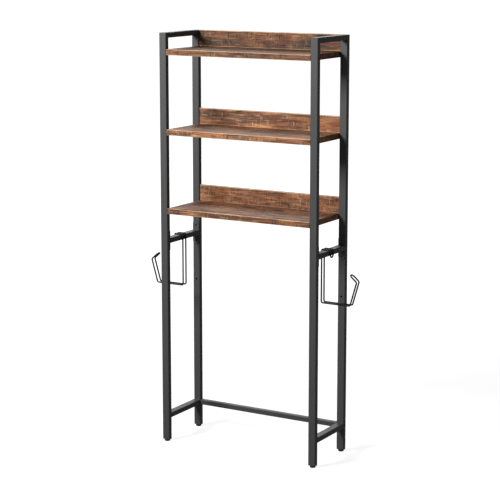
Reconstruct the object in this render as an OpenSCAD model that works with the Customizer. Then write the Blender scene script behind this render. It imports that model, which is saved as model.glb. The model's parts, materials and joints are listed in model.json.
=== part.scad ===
// Over-the-toilet storage rack.
// Two side frames of rectangular steel tube stand on levelling feet and carry three board
// shelves, each with a rail along its rear edge. A cross bar ties the rear posts near the
// floor, and a wire roll holder hooks over each middle side bar.
// Millimetres. The origin is on the floor under the middle of the rack, +Z is up, the front
// faces -Y and the left side frame is on -X.

/* [Overall] */
// Width over the two side frames
rack_w = 680; // [540:1:820]
// Depth over the front and rear posts
rack_d = 250; // [200:1:320]
// Height from the floor to the top of the top bars
rack_h = 1600; // [1320:1:1930]

/* [Frame tube] */
// Tube width, left to right
tube_w = 30; // [25:0.5:38]
// Tube depth of a post, front to back, which is also the height of a bar
tube_d = 20; // [16:0.5:26]
// Wall of every tube
tube_wall = 1.2; // [1:0.1:2]
// Outside corner radius of every tube
tube_r = 2.5; // [2.1:0.1:3]

/* [Frame levels] */
// Clear height under the bottom shelf, for the cistern
clear_h = 908; // [750:1:1000]
// Drop from the bottom shelf's underside to the centre of the middle bars
middle_drop = 107; // [95:1:150]
// Height of the underside of the lower side bars and the rear bar
low_bar_z = 94; // [60:1:160]
// Height of the spare wall-screw hole through each rear post
wall_hole_z = 612; // [300:1:700]
// Diameter of the spare wall-screw hole
wall_hole_d = 8; // [5:0.1:9]

/* [Post joints] */
// Length of the sleeve that joins the two halves of a post
sleeve_len = 120; // [90:1:150]
// Wall of the sleeve
sleeve_wall = 1.5; // [1:0.1:2]
// Width of the end plates on the middle bars
plate_w = 28; // [20:0.5:32]
// Thickness of the end plates
plate_t = 2.5; // [1.5:0.1:4]
// Distance between the two screws of an end plate
plate_pitch = 64; // [50:1:75]

/* [Shelves] */
// Thickness of the shelf boards
shelf_t = 22; // [18:0.5:28]
// Height of the rail on each shelf
rail_h = 62; // [40:1:80]
// Thickness of the rail
rail_t = 15; // [12:0.5:18]
// Gap between the end of a board and the post beside it
board_gap = 0.5; // [0.2:0.1:1]
// Rounding along the edges of the boards
board_r = 2; // [0.5:0.1:3]

/* [Roll holders] */
// Wire diameter
wire_d = 6; // [3:0.5:7]
// Distance between the two rods, centre to centre
rod_pitch = 21; // [14:0.5:30]
// Centreline radius of the three bends below the hook
bend_r = 7; // [6:0.5:9]
// Drop from the centre of the bar to the bottom run
holder_drop = 190; // [150:1:220]
// Reach from the centre of the bar out to the foot of the arm
holder_reach = 101; // [80:1:130]
// Length of the leaning arm that carries the roll
arm_len = 95; // [80:1:120]
// Outward lean of the arm from upright
arm_lean = 16.4; // [5:0.1:25]
// Length of the turned-in tip
tip_len = 37; // [32:1:50]
// Inward lean of the tip from upright
tip_lean = 49; // [30:1:60]
// How far below the bar's underside the outer end of the hook hangs
hook_hang = 9; // [4:0.5:14]
// Distance of the holders in front of the middle of the bars
holder_forward = 11; // [0:1:30]
// Clearance between the wire and the sides of the bar
hook_side_gap = 0.5; // [0.3:0.1:1]
// Clearance between the wire and the top of the bar
hook_top_gap = 0.3; // [0.2:0.1:0.5]

/* [Feet] */
// Diameter of the foot pad
pad_d = 22; // [16:0.5:26]
// Height of the foot pad, fully screwed in
pad_h = 8; // [6:0.5:12]
// Rounding under the foot pad
pad_r = 3; // [1:0.5:4]
// Diameter of the foot's stud
stud_d = 8; // [6:0.5:10]
// Length of the stud above the pad
stud_len = 24; // [20:1:30]
// Depth of the stud inside the pad
stud_root = 5; // [3:0.5:5.5]
// Thickness of the insert's flange under the post
insert_flange = 2; // [1:0.5:3]
// Height of the insert inside the post
insert_h = 20; // [15:1:25]

/* [Fasteners] */
// Diameter of the frame and shelf screws
screw_d = 6; // [5:0.5:6]
// Head diameter of the frame and shelf screws
head_d = 10.5; // [9:0.5:12]
// Head height of the frame and shelf screws
head_h = 3.3; // [2.5:0.1:4]
// Width across the flats of the hexagon socket in the head
socket_af = 4; // [3:0.5:4]
// Depth of that socket
socket_depth = 2; // [1.5:0.1:2.4]
// Shank length of the screws through the end plates
plate_screw_len = 12; // [11:0.5:13]
// Width across the flats of the weld nuts
nut_af = 10; // [8:0.5:10]
// Thickness of the weld nuts
nut_h = 5; // [4:0.5:5.5]
// Outside diameter of the threaded inserts in the shelf ends
shelf_insert_d = 10; // [8:0.5:11]
// Length of the threaded inserts in the shelf ends
shelf_insert_len = 14; // [10:0.5:18]
// Length of the threaded blocks in the ends of the rear bar
block_len = 12; // [10:0.5:16]
// How far the screw tips pass beyond an insert or a block
tip_over = 3; // [1:0.5:4]
// Diameter of the wood screws that hold the rails
rail_screw_d = 4; // [3:0.5:4.5]
// Length of those wood screws
rail_screw_len = 45; // [35:1:60]
// Distance of the outer wood screws from the ends of the board
rail_screw_inset = 70; // [40:1:120]

/* [Fits] */
// Radial clearance round a screw in a drilled hole
hole_gap = 0.25; // [0.1:0.05:0.5]
// Radial clearance of a thread in its nut, insert or block
thread_gap = 0.05; // [0.02:0.01:0.1]
// Clearance on each side of what slides into a tube
slip_gap = 0.2; // [0.1:0.05:0.3]
// Gap between the foot pad and the insert's flange
pad_gap = 0.3; // [0.2:0.1:0.5]

/* [Hidden] */
$fn = 48;
eps = 0.01;
// Flat sides of the wire's section, and steps round each bend and each end loop
wire_sides = 12;
bend_steps = 5;
loop_steps = 10;

SIDES = ["left", "right"];
ENDS = ["front", "rear"];
SHELVES = ["bottom", "middle", "top"];
shelf_count = len(SHELVES);

steel = [0.13, 0.13, 0.14];
zinc = [0.62, 0.63, 0.65];
board = [0.52, 0.35, 0.24];
plastic = [0.05, 0.05, 0.055];

// Signs that turn the names of a side and an end into a direction
side_sign = [-1, 1];
end_sign = [-1, 1];

// Places of the posts' centres
post_x = (rack_w - tube_w) / 2;
post_y = (rack_d - tube_d) / 2;
// Heights
post_z0 = pad_h + insert_flange;
middle_z = clear_h - middle_drop;
low_bar_mid = low_bar_z + tube_d / 2;
top_shelf_z = rack_h - rail_h - shelf_t;
shelf_step = (top_shelf_z - clear_h) / (shelf_count - 1);
// Free length between a front and a rear post, and between the left and right ones
span_y = rack_d - 2 * tube_d;
span_x = rack_w - 2 * tube_w;
board_len = span_x - 2 * board_gap;
// Inside of a tube, and the outside of what slides into it
bore_w = tube_w - 2 * tube_wall;
bore_d = tube_d - 2 * tube_wall;
slip_w = bore_w - 2 * slip_gap;
slip_d = bore_d - 2 * slip_gap;
slip_r = tube_r - tube_wall;
// Radii of holes
hole_r = screw_d / 2 + hole_gap;
thread_r = screw_d / 2 + thread_gap;
stud_bore_r = stud_d / 2 + thread_gap;
// Screw lengths that follow the tube they cross
shelf_screw_len = tube_w + board_gap + shelf_insert_len + tip_over;
rear_screw_len = tube_w + block_len + tip_over;
// The sleeve's nut lies behind the plate, the post's wall and the sleeve's own wall
nut_depth = tube_wall + slip_gap + sleeve_wall;
rail_screw_y = rack_d / 2 - rail_t / 2;
rail_screw_x = board_len / 2 - rail_screw_inset;

// A rectangle centred on the origin with round corners
module round_rect(w, d, r) {
    square([w - 2 * r, d], center = true);
    square([w, d - 2 * r], center = true);
    for (x = [-1, 1], y = [-1, 1])
        translate([x * (w / 2 - r), y * (d / 2 - r)]) circle(r = r);
}

// A straight tube along Z from z = 0, centred on the axis
module tube(w, d, len, wall = tube_wall, r = tube_r) {
    linear_extrude(len) difference() {
        round_rect(w, d, r);
        round_rect(w - 2 * wall, d - 2 * wall, r - wall);
    }
}

// A side bar along Y, centred at height z, between y = -len / 2 and len / 2
module side_bar(len, z) {
    translate([0, len / 2, z]) rotate([90, 0, 0]) tube(tube_w, tube_d, len);
}

// Everything above the mitre between a post and its top bar, for the rear end
module mitre_cut() {
    translate([0, rack_d / 2, rack_h]) rotate([45, 0, 0])
        translate([-tube_w, -2 * tube_d, 0]) cube([2 * tube_w, 4 * tube_d, 2 * tube_d]);
}

// A screw with a domed socket head: the head stands on z = 0 and the shank goes down
module socket_screw(len) {
    crown_r = (pow(head_d / 2, 2) + pow(head_h, 2)) / (2 * head_h);
    difference() {
        rotate_extrude() intersection() {
            translate([0, head_h - crown_r]) circle(r = crown_r);
            square([head_d / 2, head_h]);
        }
        translate([0, 0, head_h - socket_depth])
            cylinder(h = head_h, r = socket_af / 2 / cos(30), $fn = 6);
    }
    translate([0, 0, -len]) cylinder(h = len, d = screw_d);
}

// Puts children at both screw heights of a middle joint, turned so that +Z points at the
// middle of the rack from a post at the rear end, with z = 0 on the face of the post
module at_plate_screws(side, end) {
    for (dz = [-1, 1])
        translate([side_sign[side] * post_x, end_sign[end] * span_y / 2,
                   middle_z + dz * plate_pitch / 2])
            rotate([end_sign[end] * 90, 0, 0]) children();
}

// Puts children at the post ends of a shelf: z = 0 on the outer face, +Z pointing outwards
module at_post_sides(z, ends = [0, 1]) {
    for (s = [0, 1], e = ends)
        translate([side_sign[s] * rack_w / 2, end_sign[e] * post_y, z])
            rotate([0, side_sign[s] * 90, 0]) children();
}

function shelf_z(k) = clear_h + k * shelf_step;

module lower_post(side, end) {
    color(steel) difference() {
        translate([side_sign[side] * post_x, end_sign[end] * post_y, post_z0])
            tube(tube_w, tube_d, middle_z - post_z0);
        at_plate_screws(side, end)
            translate([0, 0, -2 * tube_wall]) cylinder(h = 3 * tube_wall, r = hole_r);
        if (end == 1) {
            at_post_sides(low_bar_mid, [end])
                translate([0, 0, -tube_w - eps]) cylinder(h = tube_w + 2 * eps, r = hole_r);
            translate([side_sign[side] * post_x, rack_d / 2 + eps, wall_hole_z])
                rotate([90, 0, 0]) cylinder(h = tube_d + 2 * eps, d = wall_hole_d);
        }
    }
}

module upper_post(side, end) {
    color(steel) difference() {
        translate([side_sign[side] * post_x, end_sign[end] * post_y, middle_z])
            tube(tube_w, tube_d, rack_h - middle_z);
        at_plate_screws(side, end)
            translate([0, 0, -2 * tube_wall]) cylinder(h = 3 * tube_wall, r = hole_r);
        for (k = [0 : shelf_count - 1])
            at_post_sides(shelf_z(k) + shelf_t / 2, [end])
                translate([0, 0, -tube_w - eps]) cylinder(h = tube_w + 2 * eps, r = hole_r);
        mirror([0, 1 - end, 0]) translate([side_sign[side] * post_x, 0, 0])
            mitre_cut();
    }
}

module top_bar(side) {
    color(steel) translate([side_sign[side] * post_x, 0, 0]) difference() {
        side_bar(rack_d, rack_h - tube_d / 2);
        for (e = [0, 1]) mirror([0, e, 0])
            translate([0, rack_d / 2, rack_h]) rotate([45, 0, 0])
                translate([-tube_w, -2 * tube_d, -2 * tube_d])
                    cube([2 * tube_w, 4 * tube_d, 2 * tube_d]);
    }
}

module middle_bar(side) {
    color(steel) translate([side_sign[side] * post_x, 0, 0])
        side_bar(span_y - 2 * plate_t, middle_z);
}

module middle_plate(side, end) {
    color(steel) difference() {
        translate([side_sign[side] * post_x, end_sign[end] * span_y / 2, middle_z])
            rotate([end_sign[end] * 90, 0, 0]) linear_extrude(plate_t) {
                square([plate_w, plate_pitch], center = true);
                for (y = [-1, 1]) translate([0, y * plate_pitch / 2]) circle(d = plate_w);
            }
        at_plate_screws(side, end)
            translate([0, 0, -plate_t]) cylinder(h = 3 * plate_t, r = hole_r);
    }
}

module lower_bar(side) {
    color(steel) translate([side_sign[side] * post_x, 0, 0]) side_bar(span_y, low_bar_mid);
}

module lower_rear_bar() {
    color(steel) translate([-span_x / 2, post_y, low_bar_mid]) rotate([0, 90, 0])
        tube(tube_d, tube_d, span_x);
}

module post_sleeve(side, end) {
    color(zinc) difference() {
        translate([side_sign[side] * post_x, end_sign[end] * post_y,
                   middle_z - sleeve_len / 2])
            tube(slip_w, slip_d, sleeve_len, sleeve_wall, slip_r + sleeve_wall);
        at_plate_screws(side, end)
            translate([0, 0, -nut_depth - eps]) cylinder(h = nut_depth, r = hole_r);
    }
}

module sleeve_nuts() {
    color(zinc) for (s = [0, 1], e = [0, 1]) at_plate_screws(s, e)
        translate([0, 0, -nut_depth - nut_h]) difference() {
            cylinder(h = nut_h, r = nut_af / 2 / cos(30), $fn = 6);
            translate([0, 0, -eps]) cylinder(h = nut_h + 2 * eps, r = thread_r);
        }
}

module plate_screws() {
    color(plastic) for (s = [0, 1], e = [0, 1]) at_plate_screws(s, e)
        translate([0, 0, plate_t]) socket_screw(plate_screw_len);
}

module rear_bar_blocks() {
    color(zinc) at_post_sides(low_bar_mid, [1])
        translate([0, 0, -tube_w - block_len]) difference() {
            linear_extrude(block_len) round_rect(slip_d, slip_d, slip_r);
            translate([0, 0, -eps]) cylinder(h = block_len + 2 * eps, r = thread_r);
        }
}

module rear_bar_screws() {
    color(plastic) at_post_sides(low_bar_mid, [1]) socket_screw(rear_screw_len);
}

// One shelf board, with bores in its ends for the inserts and holes for the rail's screws
module shelf(k) {
    color(board) difference() {
        translate([-board_len / 2, 0, shelf_z(k) + shelf_t / 2]) rotate([90, 0, 90])
            linear_extrude(board_len) round_rect(rack_d, shelf_t, board_r);
        at_post_sides(shelf_z(k) + shelf_t / 2) {
            translate([0, 0, -tube_w - board_gap - shelf_insert_len])
                cylinder(h = shelf_insert_len + 2 * board_gap, d = shelf_insert_d + 2 * thread_gap);
            translate([0, 0, -shelf_screw_len - tip_over])
                cylinder(h = shelf_screw_len, r = hole_r);
        }
        for (x = [-1, 0, 1]) translate([x * rail_screw_x, rail_screw_y, shelf_z(k) - eps]) {
            cylinder(h = shelf_t + 2 * eps, d = rail_screw_d + 2 * hole_gap);
            cylinder(h = rail_screw_d / 2 + 2 * hole_gap, d1 = 2 * rail_screw_d + 2 * hole_gap,
                     d2 = rail_screw_d + 2 * hole_gap - eps);
        }
    }
}

module shelf_rail(k) {
    color(board) difference() {
        translate([-board_len / 2, rail_screw_y, shelf_z(k) + shelf_t + rail_h / 2])
            rotate([90, 0, 90]) linear_extrude(board_len) round_rect(rail_t, rail_h, board_r);
        for (x = [-1, 0, 1])
            translate([x * rail_screw_x, rail_screw_y, shelf_z(k)])
                cylinder(h = rail_screw_len + tip_over, d = rail_screw_d + 2 * thread_gap);
    }
}

module shelf_screws() {
    color(plastic) for (k = [0 : shelf_count - 1])
        at_post_sides(shelf_z(k) + shelf_t / 2) socket_screw(shelf_screw_len);
}

module shelf_inserts() {
    color(zinc) for (k = [0 : shelf_count - 1]) at_post_sides(shelf_z(k) + shelf_t / 2)
        translate([0, 0, -tube_w - board_gap - shelf_insert_len]) difference() {
            cylinder(h = shelf_insert_len, d = shelf_insert_d);
            translate([0, 0, -eps]) cylinder(h = shelf_insert_len + 2 * eps, r = thread_r);
        }
}

module rail_screws() {
    color(zinc) for (k = [0 : shelf_count - 1], x = [-1, 0, 1])
        translate([x * rail_screw_x, rail_screw_y, shelf_z(k)]) {
            cylinder(h = rail_screw_len, d = rail_screw_d);
            cylinder(h = rail_screw_d / 2, d1 = 2 * rail_screw_d, d2 = rail_screw_d);
        }
}

// The holder's corners from the outer end of the hook to the tip, as distances outwards
// and upwards from the centre of the bar
hook_x = tube_w / 2 + hook_side_gap + wire_d / 2;
hook_top = tube_d / 2 + hook_top_gap + wire_d / 2;
hook_end = -tube_d / 2 - hook_hang + wire_d / 2 + rod_pitch / 2;
arm_top = [holder_reach + arm_len * sin(arm_lean), -holder_drop + arm_len * cos(arm_lean)];
tip_run = tip_len - rod_pitch / 2;
HOLDER = [
    [hook_x, hook_end],
    [hook_x, hook_top],
    [-hook_x, hook_top],
    [-hook_x, -holder_drop],
    [holder_reach, -holder_drop],
    arm_top,
    arm_top + tip_run * [-sin(tip_lean), cos(tip_lean)]
];
LAST = len(HOLDER) - 1;
// Direction of the run that starts at corner i, and the left turn made at corner i
function heading(i) = atan2(HOLDER[i + 1][1] - HOLDER[i][1], HOLDER[i + 1][0] - HOLDER[i][0]);
function turn(i) = (heading(i) - heading(i - 1) + 360) % 360;
// The two bends of the hook follow the corners of the bar
hook_bend_r = tube_r + hook_side_gap + wire_d / 2;
function radius(i) = i <= 2 ? hook_bend_r : bend_r;
// How far a bend reaches along the runs on each side of corner i
function trim(i) = radius(i) * tan(turn(i) / 2);

// Stations along one rod, each with its place and its heading: the bends are arcs
function left_of(angle) = [-sin(angle), cos(angle)];
ROD = concat(
    [[HOLDER[0], heading(0)]],
    [for (i = [1 : LAST - 1], j = [0 : bend_steps])
        let (before = heading(i - 1), now = before + turn(i) * j / bend_steps,
             start = HOLDER[i] - trim(i) * [cos(before), sin(before)])
        [start + radius(i) * (left_of(before) - left_of(now)), now]],
    [[HOLDER[LAST], heading(LAST - 1)]]
);
// The whole loop: out along one rod, round the tip, back along the other, round the hook
ROD_COUNT = len(ROD);
TIP = ROD[ROD_COUNT - 1];
HOOK = ROD[0];
LOOP = concat(
    [for (s = ROD) [s[0], s[1], [0, 0, 1]]],
    [for (j = [1 : loop_steps - 1]) let (t = 180 * j / loop_steps)
        [TIP[0], TIP[1], [sin(t) * cos(TIP[1]), sin(t) * sin(TIP[1]), cos(t)]]],
    [for (i = [1 : ROD_COUNT]) let (s = ROD[ROD_COUNT - i]) [s[0], s[1], [0, 0, -1]]],
    [for (j = [1 : loop_steps - 1]) let (t = 180 * j / loop_steps)
        [HOOK[0], HOOK[1], [-sin(t) * cos(HOOK[1]), -sin(t) * sin(HOOK[1]), -cos(t)]]]
);

// One corner of the wire's section at a station: across is the direction from the middle
// of the holder to the wire there
function wire_point(station, side_no) =
    let (turned = 360 * side_no / wire_sides, across = station[2], left = left_of(station[1]))
    [station[0][0], station[0][1], 0]
        + (rod_pitch + wire_d * cos(turned)) / 2 * across
        - wire_d / 2 * sin(turned) * [left[0], left[1], 0];

// The closed loop of wire in the XY plane, with the outward direction along +X
module wire_loop() {
    count = len(LOOP);
    polyhedron(
        points = [for (s = LOOP, j = [0 : wire_sides - 1]) wire_point(s, j)],
        faces = [for (i = [0 : count - 1], j = [0 : wire_sides - 1], half = [0, 1])
            let (a = i * wire_sides, b = (i + 1) % count * wire_sides,
                 k = (j + 1) % wire_sides)
            half == 0 ? [a + j, a + k, b + k] : [a + j, b + k, b + j]]
    );
}

module roll_holder(side) {
    color(steel) mirror([1 - side, 0, 0]) translate([post_x, -holder_forward, middle_z])
        rotate([90, 0, 0]) wire_loop();
}

module foot_insert(side, end) {
    color(plastic) translate([side_sign[side] * post_x, end_sign[end] * post_y, pad_h])
        difference() {
            union() {
                linear_extrude(insert_flange) round_rect(tube_w, tube_d, tube_r);
                linear_extrude(insert_flange + insert_h) round_rect(slip_w, slip_d, slip_r);
            }
            translate([0, 0, -eps])
                cylinder(h = insert_flange + insert_h + 2 * eps, r = stud_bore_r);
        }
}

module foot_pad(side, end) {
    top = pad_h - pad_gap;
    color(plastic) translate([side_sign[side] * post_x, end_sign[end] * post_y, 0])
        difference() {
            rotate_extrude() {
                square([pad_d / 2 - pad_r, top]);
                translate([0, pad_r]) square([pad_d / 2, top - pad_r]);
                translate([pad_d / 2 - pad_r, pad_r]) intersection() {
                    circle(r = pad_r);
                    translate([0, -pad_r]) square(pad_r);
                }
            }
            translate([0, 0, top - stud_root]) cylinder(h = stud_root + eps, r = stud_bore_r);
        }
}

module foot_stud(side, end) {
    color(zinc) translate([side_sign[side] * post_x, end_sign[end] * post_y,
                           pad_h - pad_gap - stud_root])
        cylinder(h = stud_root + stud_len, d = stud_d);
}

for (s = [0, 1], e = [0, 1]) {
    place = str(SIDES[s], "_", ENDS[e]);
    lower_post(s, e);
    upper_post(s, e);
    middle_plate(s, e);
    post_sleeve(s, e);
    foot_insert(s, e);
    foot_pad(s, e);
    foot_stud(s, e);
}
for (s = [0, 1]) {
    top_bar(s);
    middle_bar(s);
    lower_bar(s);
    roll_holder(s);
}
for (k = [0 : shelf_count - 1]) {
    shelf(k);
    shelf_rail(k);
}
lower_rear_bar();
sleeve_nuts();
plate_screws();
rear_bar_blocks();
rear_bar_screws();
shelf_screws();
shelf_inserts();
rail_screws();
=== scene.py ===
# %% [markdown]
# # An over-the-toilet storage rack in its real finishes
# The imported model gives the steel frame, the boards and the fixings at their real size.
# This lesson gives each of them the finish it has in the shop, bends the two wire roll
# holders as smooth wire, moulds the feet and adds the welds. It is read from top to bottom,
# and every cell prints what it made.

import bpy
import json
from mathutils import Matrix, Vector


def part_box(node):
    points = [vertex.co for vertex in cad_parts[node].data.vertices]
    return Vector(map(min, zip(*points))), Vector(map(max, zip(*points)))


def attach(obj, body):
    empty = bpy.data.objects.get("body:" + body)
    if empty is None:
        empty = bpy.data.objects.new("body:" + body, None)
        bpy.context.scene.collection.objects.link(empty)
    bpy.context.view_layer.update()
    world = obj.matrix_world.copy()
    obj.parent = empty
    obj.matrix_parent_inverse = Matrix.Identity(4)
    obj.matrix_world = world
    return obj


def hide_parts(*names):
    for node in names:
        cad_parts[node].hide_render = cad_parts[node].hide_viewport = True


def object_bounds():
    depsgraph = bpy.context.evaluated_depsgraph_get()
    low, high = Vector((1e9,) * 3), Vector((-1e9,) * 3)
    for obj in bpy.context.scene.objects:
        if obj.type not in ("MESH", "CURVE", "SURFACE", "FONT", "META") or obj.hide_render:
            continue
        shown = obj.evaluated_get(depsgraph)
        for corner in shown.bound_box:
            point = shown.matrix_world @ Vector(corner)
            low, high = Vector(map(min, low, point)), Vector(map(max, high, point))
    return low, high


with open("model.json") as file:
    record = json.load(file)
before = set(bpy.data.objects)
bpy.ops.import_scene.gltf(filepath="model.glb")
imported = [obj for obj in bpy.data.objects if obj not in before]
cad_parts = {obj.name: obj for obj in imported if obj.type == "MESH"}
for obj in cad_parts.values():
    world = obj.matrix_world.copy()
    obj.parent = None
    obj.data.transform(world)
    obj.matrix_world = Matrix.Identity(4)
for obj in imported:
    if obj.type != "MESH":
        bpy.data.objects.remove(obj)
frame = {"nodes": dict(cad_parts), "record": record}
cad_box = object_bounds()
print("nodes", len(frame["nodes"]), "box", [round(x, 4) for c in cad_box for x in c])

# %% Modules and units
import json
from math import atan2, pi, radians, tan

import bmesh
import bpy
from mathutils import Matrix, Vector

MM = 0.001

# %% [markdown]
# ## The camera
# A rack is tall and narrow, so it is taken from a standing person's height with a long
# lens, which keeps the posts nearly parallel. The camera stands in front and to the right,
# and looks down a little. A small downward shift lets it tilt less.

# %% Place the camera
LOOK_DOWN, LOOK_LEFT = radians(9.97), radians(30.53)
camera_data = bpy.data.cameras.new("camera")
camera_data.lens = 116
camera_data.sensor_width = 36
camera_data.shift_y = -0.05
camera = bpy.data.objects.new("camera", camera_data)
camera.location = (3.06, -5.214, 1.937)
camera.rotation_euler = (pi / 2 - LOOK_DOWN, 0, LOOK_LEFT)
bpy.context.scene.collection.objects.link(camera)
bpy.context.scene.camera = camera
bpy.context.scene.view_settings.view_transform = "Standard"
print("camera", [round(x, 3) for x in camera.location], "lens", camera_data.lens)

# %% [markdown]
# ## Light
# A dark matt frame shows its shape by one face being brighter than the next. So a large
# soft light stands high on the left in front, and a second one behind on the left gives
# the grazing sheen on top of the bars. The surroundings stay dim, which keeps the right
# hand faces dark, while the background itself is plain white.

# %% A white background that lights the rack only a little
world = bpy.data.worlds.new("studio")
world.use_nodes = True
bpy.context.scene.world = world


def node(tree, kind, inputs=None, **settings):
    """Adds one node: settings are its properties, inputs its values or what is linked in."""
    made = tree.nodes.new(kind)
    for name, value in settings.items():
        setattr(made, name, value)
    for socket, value in (inputs or {}).items():
        if isinstance(value, bpy.types.NodeSocket):
            tree.links.new(value, made.inputs[socket])
        else:
            made.inputs[socket].default_value = value
    return made


world.node_tree.nodes.clear()
seen = node(world.node_tree, "ShaderNodeBackground", {"Color": (1, 1, 1, 1), "Strength": 1.0})
fill = node(world.node_tree, "ShaderNodeBackground", {"Color": (1, 1, 1, 1), "Strength": 0.2})
ray = node(world.node_tree, "ShaderNodeLightPath")
either = node(world.node_tree, "ShaderNodeMixShader",
              {0: ray.outputs["Is Camera Ray"], 1: fill.outputs[0], 2: seen.outputs[0]})
node(world.node_tree, "ShaderNodeOutputWorld", {"Surface": either.outputs[0]})
print("world fill", fill.inputs["Strength"].default_value)


# %% Two soft lights
def soft_light(name, place, aim, width, height, watts):
    """A rectangular light at place that faces aim."""
    data = bpy.data.lights.new(name, "AREA")
    data.shape = "RECTANGLE"
    data.size, data.size_y = width, height
    data.energy = watts
    light = bpy.data.objects.new(name, data)
    light.location = place
    light.rotation_euler = (Vector(aim) - Vector(place)).to_track_quat("-Z", "Y").to_euler()
    bpy.context.scene.collection.objects.link(light)
    print(name, place, watts, "W")
    return light


rack_top = cad_box[1].z
soft_light("key_light", (-1.4, -2.7, 2.8), (0, 0, 0.62 * rack_top), 1.0, 1.2, 190)
soft_light("rim_light", (-5.0, 6.6, 4.6), (0, 0, 0.4 * rack_top), 5.0, 2.6, 230)

# %% [markdown]
# ## The floor
# The floor is a wide pale sheet of studio paper. It is there for the shadow under the feet,
# so it takes light but throws none back, which keeps the rack's lower end dark. Near the
# rack it glows a little less, so that the shadow shows, and further out it is plain white.

# %% Lay the floor
FLOOR_RADIUS = 90
SHADOW_ENDS, WHITE_FROM = 1.2, 3.6
paper = bpy.data.materials.new("pale_studio_paper")
paper.use_nodes = True
paper_shader = paper.node_tree.nodes["Principled BSDF"]
paper_shader.inputs["Base Color"].default_value = (0.3, 0.3, 0.3, 1)
paper_shader.inputs["Roughness"].default_value = 0.9
paper_shader.inputs["Specular IOR Level"].default_value = 0.0
paper_shader.inputs["Emission Color"].default_value = (1, 1, 1, 1)
ground = node(paper.node_tree, "ShaderNodeTexCoord").outputs["Object"]
away = node(paper.node_tree, "ShaderNodeVectorMath", {0: ground}, operation="LENGTH")
glow = node(paper.node_tree, "ShaderNodeMapRange",
            {"Value": away.outputs["Value"], "From Min": SHADOW_ENDS,
             "From Max": WHITE_FROM, "To Min": 0.84, "To Max": 1.0},
            interpolation_type="SMOOTHSTEP")
paper.node_tree.links.new(glow.outputs[0], paper_shader.inputs["Emission Strength"])
floor_mesh = bpy.data.meshes.new("floor")
bm = bmesh.new()
bmesh.ops.create_circle(bm, cap_ends=True, segments=64, radius=FLOOR_RADIUS)
bm.to_mesh(floor_mesh)
bm.free()
floor = bpy.data.objects.new("floor", floor_mesh)
floor_mesh.materials.append(paper)
floor.location.z = -0.5 * MM
floor.visible_diffuse = False
floor.visible_glossy = False
bpy.context.scene.collection.objects.link(floor)
print("floor radius", FLOOR_RADIUS, "m")


# %% [markdown]
# ## Colours and shaders
# Paint and print colours are known as sRGB hex values, as on a colour card. Blender mixes
# light in linear values, so one function turns a hex value into those.

# %% Hex to linear colour
def colour(hex_value):
    """A linear RGBA colour from an sRGB hex value such as 8a5f3c."""
    channels = [int(hex_value[i:i + 2], 16) / 255 for i in (0, 2, 4)]
    linear = [c / 12.92 if c <= 0.04045 else ((c + 0.055) / 1.055) ** 2.4 for c in channels]
    return (*linear, 1.0)


def blank_material(name):
    """A new material's node tree, its shader and its texture coordinates in metres."""
    made = bpy.data.materials.new(name)
    made.use_nodes = True
    tree = made.node_tree
    shader = tree.nodes["Principled BSDF"]
    place = node(tree, "ShaderNodeTexCoord").outputs["Object"]
    return made, tree, shader, place


print("8a5f3c is", [round(c, 3) for c in colour("8a5f3c")])


# %% [markdown]
# ## Powder coat on the frame
# The tube is mild steel with a baked polyester powder coat in a fine-textured matt dark
# grey. The powder melts into a skin of small bumps about 0.3 mm across, so highlights are
# wide and soft. At this distance such bumps vanish, so they are drawn 2 mm across. A
# second, far larger pattern lets the sheen drift a little, as the coat's thickness does. The
# wire has a smoother and darker satin coat, which is made by the same steps.

# %% Make the powder coat
DRIFT = 60 * MM


def powder_coat(name, hex_low, hex_high, roughness, specular, grain_mm, bump_mm):
    """Textured powder coat: a colour that drifts, a grain in the bump, a drifting sheen."""
    made, tree, shader, place = blank_material(name)
    grain = node(tree, "ShaderNodeTexNoise",
                 {"Vector": place, "Scale": 1 / (grain_mm * MM), "Detail": 3.0,
                  "Roughness": 0.6})
    drift = node(tree, "ShaderNodeTexNoise",
                 {"Vector": place, "Scale": 1 / DRIFT, "Detail": 2.0})
    speckle = node(tree, "ShaderNodeMix",
                   {0: grain.outputs["Fac"], 6: colour(hex_low), 7: colour(hex_high)},
                   data_type="RGBA")
    sheen = node(tree, "ShaderNodeMapRange",
                 {"Value": drift.outputs["Fac"], "From Min": 0.3, "From Max": 0.7,
                  "To Min": roughness - 0.04, "To Max": roughness + 0.05})
    bumps = node(tree, "ShaderNodeBump",
                 {"Height": grain.outputs["Fac"], "Strength": 0.35,
                  "Distance": bump_mm * MM})
    tree.links.new(speckle.outputs[2], shader.inputs["Base Color"])
    tree.links.new(sheen.outputs[0], shader.inputs["Roughness"])
    tree.links.new(bumps.outputs[0], shader.inputs["Normal"])
    shader.inputs["Specular IOR Level"].default_value = specular
    print(name, "grain", grain_mm, "mm")
    return made


frame_coat = powder_coat("fine_textured_powder_coat", "363636", "464646", 0.52, 0.35, 2.0, 0.07)
wire_coat = powder_coat("satin_powder_coat_on_wire", "1a1a1a", "242424", 0.46, 0.2, 1.2, 0.05)


# %% [markdown]
# ## Rustic oak foil on the boards
# The boards are particle board wrapped in a printed and embossed foil. A foil printer lays
# one ink after the other with engraved rollers, so the print is made here in the same way:
# each roller is one noise, stretched to the real length and width of its spots, that lets
# its ink through in places. Painting the pattern by hand or with one big noise would either
# need an image file or look like marble. The first inks draw the wood's own tones, the next
# the weathering and the grain, and the last the saw marks across it, which come in groups.

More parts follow.
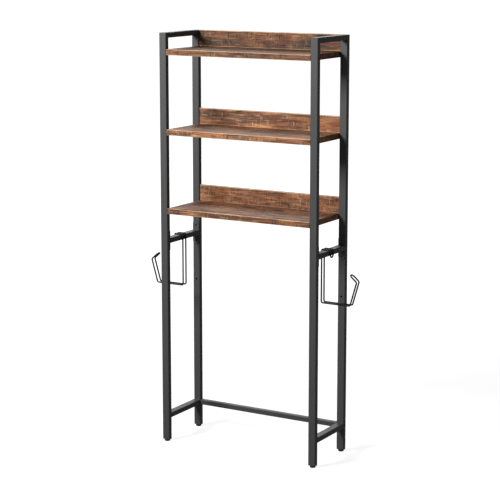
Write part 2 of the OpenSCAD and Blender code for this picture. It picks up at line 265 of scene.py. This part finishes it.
# %% The printer's rollers
# ink, spot length and width in mm, where the ink starts and is full, its most, group in mm
ROLLERS = [
    ("a06a46", 190, 24, 0.40, 0.60, 1.00, None),   # honey-brown ground over the dark paper
    ("7d432b", 130, 40, 0.50, 0.68, 0.70, None),   # red-brown heartwood
    ("5f4d42", 160, 30, 0.52, 0.66, 0.65, None),   # grey weathering
    ("c3936a", 80, 12, 0.56, 0.72, 0.75, None),    # pale worn spots
    ("2d1f18", 110, 8, 0.54, 0.68, 0.90, None),    # dark streaks
    ("402b1f", 55, 3.6, 0.50, 0.64, 0.60, None),   # dark grain, twice as coarse as the real one
    ("d3a47e", 60, 4.2, 0.56, 0.70, 0.45, None),   # light grain
    ("281b15", 4.0, 30, 0.54, 0.64, 0.75, 45),     # saw marks across the grain
    ("d6ad8a", 3.4, 22, 0.57, 0.67, 0.45, 60),     # their raised, paler edges
]
# Rows of the table that later steps use again
PALE_SPOTS, DARK_GRAIN, SAW_MARKS = 3, 5, 7
PAPER = "63422f"
# Each roller starts somewhere else in its noise, so that no two inks lie on each other
ROLLER_OFFSET = (3.7, 5.3, 7.1)
print("rollers", len(ROLLERS))


# %% Run the foil along the board, and along the strips on its ends
def foil_direction(tree, along_board, facing):
    """Coordinates whose X is the foil's length: the board's X, or Y on a board's end."""
    sideways = node(tree, "ShaderNodeMath", {0: facing.outputs["X"]}, operation="ABSOLUTE")
    at_end = node(tree, "ShaderNodeMath", {0: sideways.outputs[0], 1: 0.5},
                  operation="GREATER_THAN")
    strip = node(tree, "ShaderNodeVectorRotate", {"Vector": along_board, "Angle": pi / 2},
                 rotation_type="Z_AXIS")
    place = node(tree, "ShaderNodeMix",
                 {0: at_end.outputs[0], 4: along_board, 5: strip.outputs[0]},
                 data_type="VECTOR")
    return place.outputs[1]


print("foil length runs along X, and along Y on the ends")


# %% Print one ink after the other
def print_inks(tree, place):
    """The printed colour, and every roller's own noise for the steps that follow it."""
    tone, spots = colour(PAPER), []
    for i, (ink, long_mm, wide_mm, start, full, most, group_mm) in enumerate(ROLLERS):
        size = (1 / (long_mm * MM), 1 / (wide_mm * MM), 1 / (wide_mm * MM))
        laid = node(tree, "ShaderNodeMapping",
                    {"Vector": place, "Scale": size,
                     "Location": tuple(i * offset for offset in ROLLER_OFFSET)})
        noise = node(tree, "ShaderNodeTexNoise",
                     {"Vector": laid.outputs[0], "Scale": 1.0, "Detail": 4.0,
                      "Distortion": 0.35})
        cover = node(tree, "ShaderNodeMapRange",
                     {"Value": noise.outputs["Fac"], "From Min": start, "From Max": full,
                      "To Max": most}, interpolation_type="SMOOTHSTEP").outputs[0]
        if group_mm:
            group = node(tree, "ShaderNodeTexNoise",
                         {"Vector": place, "Scale": 1 / (group_mm * MM), "Detail": 1.0})
            cover = node(tree, "ShaderNodeMapRange",
                         {"Value": group.outputs["Fac"], "From Min": 0.45, "From Max": 0.55,
                          "To Max": cover}, interpolation_type="SMOOTHSTEP").outputs[0]
        tone = node(tree, "ShaderNodeMix", {0: cover, 6: tone, 7: colour(ink)},
                    data_type="RGBA").outputs[2]
        spots.append(noise.outputs["Fac"])
    return tone, spots


print("inks", [row[0] for row in ROLLERS])

# %% [markdown]
# ## Knots, board shades and painted edge highlights
# A knot is the stub of a branch: dark rings, drawn out along the board and never quite
# round. The points of a Voronoi pattern give such rings a few places, and a soft noise bends
# them. The bottom, middle and top boards each get their own shade, chosen by height. Where
# the foil bends over a long edge, a pale painted highlight stands for the light that the
# rounded edge catches, broken up unevenly.

# %% Print the knots
KNOT_SPACING = (190 * MM, 90 * MM, 90 * MM)
KNOT_BEND = (20 * MM, 8 * MM, 8 * MM)
BEND_WAVE = 70 * MM
# ink, where the ring starts and is full as shares of the spacing, its most
KNOT_RINGS = [("4a3223", 0.24, 0.12, 0.6), ("1f1510", 0.11, 0.05, 0.9)]


def print_knots(tree, place, tone):
    """The colour with a few dark, bent knots over it."""
    warp = node(tree, "ShaderNodeTexNoise",
                {"Vector": place, "Scale": 1 / BEND_WAVE, "Detail": 2.0})
    bend = node(tree, "ShaderNodeVectorMath", {0: warp.outputs["Color"], 1: KNOT_BEND},
                operation="MULTIPLY")
    bent = node(tree, "ShaderNodeVectorMath", {0: place, 1: bend.outputs[0]})
    laid = node(tree, "ShaderNodeMapping",
                {"Vector": bent.outputs[0], "Scale": tuple(1 / s for s in KNOT_SPACING)})
    cells = node(tree, "ShaderNodeTexVoronoi", {"Vector": laid.outputs[0], "Scale": 1.0})
    for ink, rim, core, most in KNOT_RINGS:
        knot = node(tree, "ShaderNodeMapRange",
                    {"Value": cells.outputs["Distance"], "From Min": rim, "From Max": core,
                     "To Max": most}, interpolation_type="SMOOTHSTEP")
        tone = node(tree, "ShaderNodeMix", {0: knot.outputs[0], 6: tone, 7: colour(ink)},
                    data_type="RGBA").outputs[2]
    return tone


print("knots about", KNOT_SPACING[0], "m apart along the board")


# %% Shade each board by its height
# The shades of the bottom, middle and top board
BOARD_SHADES = (0.85, 1.0, 0.57)


def shade_by_board(tree, along_board, tone):
    """The colour times its board's shade, which is chosen by height."""
    height = node(tree, "ShaderNodeSeparateXYZ", {0: along_board}).outputs["Z"]
    storey = node(tree, "ShaderNodeMapRange",
                  {"Value": height, "From Min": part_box("bottom_shelf")[0].z,
                   "From Max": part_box("top_shelf")[0].z})
    height_shade = node(tree, "ShaderNodeValToRGB", {0: storey.outputs[0]})
    height_shade.color_ramp.interpolation = "CONSTANT"
    height_shade.color_ramp.elements[1].position = 0.75
    height_shade.color_ramp.elements.new(0.25)
    for stop, shade in zip(height_shade.color_ramp.elements, BOARD_SHADES):
        stop.color = (shade, shade, shade, 1)
    return node(tree, "ShaderNodeMix", {0: 1.0, 6: tone, 7: height_shade.outputs[0]},
                data_type="RGBA", blend_type="MULTIPLY").outputs[2]


print("board shades", BOARD_SHADES)


# %% Paint a highlight on the long edges
# A pale colour painted along the long rounded edges, standing for the highlight that they catch
EDGE_HIGHLIGHT = "dcb288"


def paint_edge_highlight(tree, facing, pale_spots, tone):
    """The colour with a pale painted highlight where both Y and Z show in the surface's
    direction.
    """
    turned = node(tree, "ShaderNodeMath", {0: facing.outputs["Y"], 1: facing.outputs["Z"]},
                  operation="MULTIPLY")
    corner = node(tree, "ShaderNodeMath", {0: turned.outputs[0]}, operation="ABSOLUTE")
    # The pale spots' noise breaks the painted edge highlight up unevenly
    highlight_breakup = node(tree, "ShaderNodeMapRange",
               {"Value": pale_spots, "From Min": 0.36, "From Max": 0.6, "To Min": 0.35,
                "To Max": 0.95})
    edge_highlight = node(tree, "ShaderNodeMapRange",
                {"Value": corner.outputs[0], "From Min": 0.02, "From Max": 0.2,
                 "To Max": highlight_breakup.outputs[0]})
    return node(tree, "ShaderNodeMix", {0: edge_highlight.outputs[0], 6: tone, 7: colour(EDGE_HIGHLIGHT)},
                data_type="RGBA").outputs[2]


print("rubbed foil", EDGE_HIGHLIGHT)

# %% Print and emboss the foil
EMBOSSING = 0.1 * MM


def oak_foil(name):
    """Printed foil: its inks, knots, board shade and painted edge highlights, and the embossed
    grain.
    """
    made, tree, shader, along_board = blank_material(name)
    facing = node(tree, "ShaderNodeSeparateXYZ",
                  {0: node(tree, "ShaderNodeTexCoord").outputs["Normal"]})
    place = foil_direction(tree, along_board, facing)
    tone, spots = print_inks(tree, place)
    tone = print_knots(tree, place, tone)
    tone = shade_by_board(tree, along_board, tone)
    tone = paint_edge_highlight(tree, facing, spots[PALE_SPOTS], tone)
    grain = spots[DARK_GRAIN]
    relief = node(tree, "ShaderNodeMath", {0: grain, 1: spots[SAW_MARKS]}, operation="ADD")
    bumps = node(tree, "ShaderNodeBump", {"Height": relief.outputs[0], "Strength": 0.4,
                                          "Distance": -EMBOSSING})
    gloss = node(tree, "ShaderNodeMapRange",
                 {"Value": grain, "From Min": 0.3, "From Max": 0.7, "To Min": 0.56,
                  "To Max": 0.72})
    tree.links.new(tone, shader.inputs["Base Color"])
    tree.links.new(gloss.outputs[0], shader.inputs["Roughness"])
    tree.links.new(bumps.outputs[0], shader.inputs["Normal"])
    shader.inputs["Specular IOR Level"].default_value = 0.22
    print(name, "nodes", len(tree.nodes))
    return made


board_print = oak_foil("rustic_oak_foil_on_particle_board")


# %% [markdown]
# ## Fixings and feet
# The screws are hardened steel with a black oxide skin, slightly oily, so their highlight is
# tighter than the frame's. Nuts, studs and inserts are bright zinc plate. The feet are
# moulded nylon, matt from the spark-eroded mould. All of them are small, so one fine grain
# is enough for each, where the boards need a print of their own.

# %% Make the small finishes
def plain_finish(name, hex_low, hex_high, roughness, metallic, grain_mm, bump_mm):
    """A small part's finish: two close colours in a fine grain, and its bumps."""
    made, tree, shader, place = blank_material(name)
    grain = node(tree, "ShaderNodeTexNoise",
                 {"Vector": place, "Scale": 1 / (grain_mm * MM), "Detail": 2.0})
    tint = node(tree, "ShaderNodeMix",
                {0: grain.outputs["Fac"], 6: colour(hex_low), 7: colour(hex_high)},
                data_type="RGBA")
    gloss = node(tree, "ShaderNodeMapRange",
                 {"Value": grain.outputs["Fac"], "To Min": roughness - 0.06,
                  "To Max": roughness + 0.06})
    bumps = node(tree, "ShaderNodeBump", {"Height": grain.outputs["Fac"], "Strength": 0.3,
                                          "Distance": bump_mm * MM})
    tree.links.new(tint.outputs[2], shader.inputs["Base Color"])
    tree.links.new(gloss.outputs[0], shader.inputs["Roughness"])
    tree.links.new(bumps.outputs[0], shader.inputs["Normal"])
    shader.inputs["Metallic"].default_value = metallic
    print(name, "grain", grain_mm, "mm")
    return made


black_oxide = plain_finish("black_oxide_on_steel", "353535", "484848", 0.34, 0.5, 0.8, 0.02)
zinc_plate = plain_finish("bright_zinc_plate", "b4b6b9", "cfd1d4", 0.3, 1.0, 1.5, 0.02)
nylon = plain_finish("spark_eroded_black_nylon", "1a1a1b", "262627", 0.55, 0.0, 0.7, 0.05)

# %% Give every node of the model its finish
FINISHES = {
    "powder_coated_steel": frame_coat,
    "powder_coated_wire": wire_coat,
    "rustic_board": board_print,
    "blackened_screw": black_oxide,
    "zinc_plated_steel": zinc_plate,
    "black_plastic": nylon,
}
for part in frame["record"]["subparts"]:
    shape = frame["nodes"][part["node"]].data
    shape.materials.clear()
    shape.materials.append(FINISHES[part["material_slot"]])


# %% [markdown]
# ## Bent wire
# A roll holder is one length of 6 mm wire, formed on a bending machine that knows two
# moves: feed the wire straight, and bend it round a former. The same two moves make it
# here. A circle of points is extruded for a feed and spun for a bend, out along one rod,
# round the tip, back along the other and round the hook, where it meets its own start.

# %% A wire-bending machine
WIRE_R = 3 * MM
WIRE_SIDES = 28
BEND_R = 7 * MM
BEND_STEP, BEND_LEAST = radians(9), 6
WIRE_SEAM = 0.05 * MM


def new_piece(name, bm, material, body):
    """Turns a bmesh into an object that rides a body and takes a record slot's finish."""
    mesh = bpy.data.meshes.new(name)
    bm.to_mesh(mesh)
    bm.free()
    mesh.materials.append(material)
    mesh.polygons.foreach_set("use_smooth", [True] * len(mesh.polygons))
    piece = bpy.data.objects.new(name, mesh)
    bpy.context.scene.collection.objects.link(piece)
    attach(piece, body)
    print(name, "faces", len(mesh.polygons))
    return piece


def rim_of(geometry):
    """The points and edges of the open end that a feed or a bend has just made."""
    points = [g for g in geometry if isinstance(g, bmesh.types.BMVert)]
    kept = set(points)
    edges = {e for v in points for e in v.link_edges if set(e.verts) <= kept}
    return points, list(edges)


def bend_wire(start, heading, moves):
    """A closed wire: each move is a feed in metres, a turn in radians, its radius and axis."""
    bm = bmesh.new()
    aim = heading.to_track_quat("Z", "Y").to_matrix().to_4x4()
    circle = bmesh.ops.create_circle(bm, cap_ends=False, segments=WIRE_SIDES, radius=WIRE_R,
                                     matrix=Matrix.Translation(start) @ aim)
    points, edges = rim_of(circle["verts"])
    place = start.copy()
    for feed, turn, radius, axis in moves:
        fed = bmesh.ops.extrude_edge_only(bm, edges=edges)
        points, edges = rim_of(fed["geom"])
        bmesh.ops.translate(bm, verts=points, vec=heading * feed)
        place += heading * feed
        if turn:
            former = place + axis.cross(heading) * radius
            steps = max(BEND_LEAST, round(turn / BEND_STEP))
            bent = bmesh.ops.spin(bm, geom=points + edges, cent=former, axis=axis,
                                  angle=turn, steps=steps, use_merge=False,
                                  use_duplicate=False)
            points, edges = rim_of(bent["geom_last"])
            swing = Matrix.Rotation(turn, 3, axis)
            place = former + swing @ (place - former)
            heading = swing @ heading
    bmesh.ops.remove_doubles(bm, verts=bm.verts, dist=WIRE_SEAM)
    bmesh.ops.recalc_face_normals(bm, faces=bm.faces)
    return bm


# %% [markdown]
# ## The two roll holders
# Each holder hangs over its middle bar, so the bar's own box gives the hook its size and
# place. The hook ends in a closed loop outside the bar, the two rods drop down the inside
# face, run out under the bar and rise again in the leaning arm that takes the roll.

# %% The runs and bends of one rod
ROD_PITCH = 21 * MM
DROP = 190 * MM
REACH = 101 * MM
ARM, ARM_LEAN = 95 * MM, radians(16.4)
TIP, TIP_LEAN = 37 * MM, radians(49)
HOOK_HANG = 9 * MM
SIDE_GAP, TOP_GAP = 0.5 * MM, 0.3 * MM
TUBE_R = 2.5 * MM
HOOK_BEND_R = TUBE_R + SIDE_GAP + WIRE_R


def trim(turn, radius):
    """The stretch of a run that a bend at its end takes up."""
    return radius * tan(turn / 2)


def rod_runs(hook_x, hook_top, hook_end):
    """Feeds, turns and radii from the outer end of the hook to the tip, and the last feed."""
    square, foot, head = pi / 2, pi / 2 - ARM_LEAN, ARM_LEAN + TIP_LEAN
    tight, wide = HOOK_BEND_R, BEND_R
    runs = [
        (hook_top - hook_end - trim(square, tight), square, tight),
        (2 * hook_x - 2 * trim(square, tight), square, tight),
        (hook_top + DROP - trim(square, tight) - trim(square, wide), square, wide),
        (REACH + hook_x - trim(square, wide) - trim(foot, wide), foot, wide),
        (ARM - trim(foot, wide) - trim(head, wide), head, wide),
    ]
    return runs, TIP - ROD_PITCH / 2 - trim(head, wide)


print("rods", ROD_PITCH, "m apart")


# %% From one rod to the closed loop
def whole_loop(runs, last_feed, across, up):
    """Moves out along one rod, round the tip, back along the other and round the hook."""
    moves = [(feed, turn, radius, across) for feed, turn, radius in runs]
    tip_heading = Matrix.Rotation(sum(turn for _, turn, _ in runs), 3, across) @ up
    moves.append((last_feed, pi, ROD_PITCH / 2, across.cross(tip_heading)))
    feeds = [last_feed] + [feed for feed, _, _ in reversed(runs)]
    for (_, turn, radius), feed in zip(reversed(runs), feeds):
        moves.append((feed, turn, radius, -across))
    moves.append((feeds[-1], pi, ROD_PITCH / 2, across.cross(up)))
    return moves


print("two turns of", pi, "radians close the loop")


# %% Bend the roll holders
def roll_holder(side, sign):
    """One wire holder over the middle bar on that side; sign is the outward direction."""
    low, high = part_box(f"middle_{side}_bar")
    wire_low, wire_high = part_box(f"{side}_roll_holder")
    middle = Vector(((low.x + high.x) / 2, (wire_low.y + wire_high.y) / 2,
                     (low.z + high.z) / 2))
    out, up = Vector((sign, 0, 0)), Vector((0, 0, 1))
    across = out.cross(up)
    hook_x = (high.x - low.x) / 2 + SIDE_GAP + WIRE_R
    hook_top = (high.z - low.z) / 2 + TOP_GAP + WIRE_R
    hook_end = -(high.z - low.z) / 2 - HOOK_HANG + WIRE_R + ROD_PITCH / 2
    moves = whole_loop(*rod_runs(hook_x, hook_top, hook_end), across, up)
    start = middle + out * hook_x + up * hook_end + across * (ROD_PITCH / 2)
    bm = bend_wire(start, up.copy(), moves)
    piece = new_piece(f"{side}_bent_wire_holder", bm, wire_coat, f"{side}_holder")
    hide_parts(f"{side}_roll_holder")
    corners = [piece.matrix_world @ v.co for v in piece.data.vertices]
    for axis in range(3):
        print("  axis", axis, "misses the model by",
              round(min(c[axis] for c in corners) - wire_low[axis], 5),
              round(max(c[axis] for c in corners) - wire_high[axis], 5))


roll_holder("left", -1)
roll_holder("right", 1)

# %% [markdown]
# ## Moulded feet
# Each levelling foot is a nylon disc moulded round a steel stud, with finger flutes so that
# it can be turned by hand. Half of its section is drawn as six corners, the corners are
# rounded with a vertex bevel, and the section is spun into a disc. Spinning keeps the sole
# and the rim exactly round, which stacking cylinders and bevelling them would not.

# %% Spin a foot pad
FOOT_STEPS = 48
SOLE_R, RIM_R = 3 * MM, 0.8 * MM
STUD_CLEARANCE = 0.05 * MM
SPIN_SEAM = 0.01 * MM


def foot_pad(low, high, stud_low, stud_high):
    """A round pad in the box low to high, with a bore for its stud, and its axis."""
    axis_at = Vector(((low.x + high.x) / 2, (low.y + high.y) / 2, 0))
    radius = (high.x - low.x) / 2
    bore = (stud_high.x - stud_low.x) / 2 + STUD_CLEARANCE
    corners = [(0, low.z), (radius, low.z), (radius, high.z), (bore, high.z),
               (bore, stud_low.z), (0, stud_low.z)]
    bm = bmesh.new()
    chain = [bm.verts.new(axis_at + Vector((r, 0, z))) for r, z in corners]
    for one, next_one in zip(chain, chain[1:]):
        bm.edges.new((one, next_one))
    for corner, size, steps in ((chain[1], SOLE_R, 5), (chain[2], RIM_R, 3)):
        bmesh.ops.bevel(bm, geom=[corner], offset=size, offset_type="OFFSET",
                        segments=steps, profile=0.5, affect="VERTICES", material=-1)
    bmesh.ops.spin(bm, geom=bm.verts[:] + bm.edges[:], cent=axis_at, axis=(0, 0, 1),
                   angle=2 * pi, steps=FOOT_STEPS, use_merge=True, use_duplicate=False)
    bmesh.ops.remove_doubles(bm, verts=bm.verts, dist=SPIN_SEAM)
    bmesh.ops.recalc_face_normals(bm, faces=bm.faces)
    return bm, axis_at


print("a pad has", FOOT_STEPS, "columns")

# %% Press the finger flutes into the four feet
FLUTES = 8
FLUTE_DEPTH = 0.9 * MM
# column of the side wall, counted from the middle of a flute, and its share of the depth
FLUTE_SHAPE = [(0, 1.0), (1, 0.6), (FOOT_STEPS // FLUTES - 1, 0.6)]


def levelling_foot(side, end):
    """A fluted pad in place of the plain one: the columns of a flute move to the axis."""
    low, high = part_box(f"{side}_{end}_foot_pad")
    bm, axis_at = foot_pad(low, high, *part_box(f"{side}_{end}_foot_stud"))
    radius = (high.x - low.x) / 2
    for offset, share in FLUTE_SHAPE:
        hollow = []
        for v in bm.verts:
            across = v.co - axis_at
            column = round(atan2(across.y, across.x) / (2 * pi) * FOOT_STEPS)
            on_wall = across.xy.length > radius - RIM_R and v.co.z > low.z + SOLE_R / 2
            if on_wall and column % (FOOT_STEPS // FLUTES) == offset:
                hollow.append(v)
        shrink = 1 - share * FLUTE_DEPTH / radius
        bmesh.ops.scale(bm, verts=hollow, vec=(shrink, shrink, 1),
                        space=Matrix.Translation(-axis_at))
    piece = new_piece(f"{side}_{end}_moulded_foot", bm, nylon, f"{side}_{end}_foot")
    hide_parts(f"{side}_{end}_foot_pad")


for side in ("left", "right"):
    for end in ("front", "rear"):
        levelling_foot(side, end)

# %% [markdown]
# ## Weld beads
# The side bars are welded to the posts and to their end plates, and the top corners are
# welded on the inside before painting. A bead is a row of small overlapping puddles about
# 3 mm long. Half of its rippled outline is drawn as a chain of points and spun round the
# seam, and the frame hides the half that has melted in.

# %% A row of weld puddles
PUDDLE = 3 * MM
BEAD_R, BEAD_NECK = 1.6 * MM, 0.8
BEAD_SIDES = 12


def lay_bead(bm, middle, length):
    """One bead along X through middle: puddles side by side, tapering at both ends."""
    puddles = round(length / PUDDLE)
    outline = [bm.verts.new(middle - Vector((length / 2, 0, 0)))]
    for i in range(2 * puddles - 1):
        along = (i + 1) / (2 * puddles) - 0.5
        swell = BEAD_R * (1.0 if i % 2 == 0 else BEAD_NECK)
        outline.append(bm.verts.new(middle + Vector((along * length, 0, swell))))
    outline.append(bm.verts.new(middle + Vector((length / 2, 0, 0))))
    edges = [bm.edges.new(pair) for pair in zip(outline, outline[1:])]
    bmesh.ops.spin(bm, geom=outline + edges, cent=middle, axis=(1, 0, 0), angle=2 * pi,
                   steps=BEAD_SIDES, use_merge=True, use_duplicate=False)


print("puddle", PUDDLE, "m long")

# %% Weld the side frames
BEAD_INSET = 3 * MM
UNDER, OVER = 0, 1
# bar, and the seams of it that are welded at both of its ends
SEAMS = [("lower", (UNDER, OVER)), ("middle", (UNDER, OVER)), ("top", (UNDER,))]


def weld_side_frame(side):
    """All the beads of one side frame, as one piece."""
    bm = bmesh.new()
    for bar, seams in SEAMS:
        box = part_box(f"{bar}_{side}_bar")
        post_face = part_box(f"upper_{side}_front_post")[1].y
        reach = -post_face if bar == "top" else box[1].y
        for seam in seams:
            for end in (-1, 1):
                seat = Vector(((box[0].x + box[1].x) / 2, end * reach, box[seam].z))
                lay_bead(bm, seat, box[1].x - box[0].x - 2 * BEAD_INSET)
    bmesh.ops.remove_doubles(bm, verts=bm.verts, dist=SPIN_SEAM)
    bmesh.ops.recalc_face_normals(bm, faces=bm.faces)
    new_piece(f"{side}_weld_beads", bm, frame_coat, "rack")


for side in ("left", "right"):
    weld_side_frame(side)
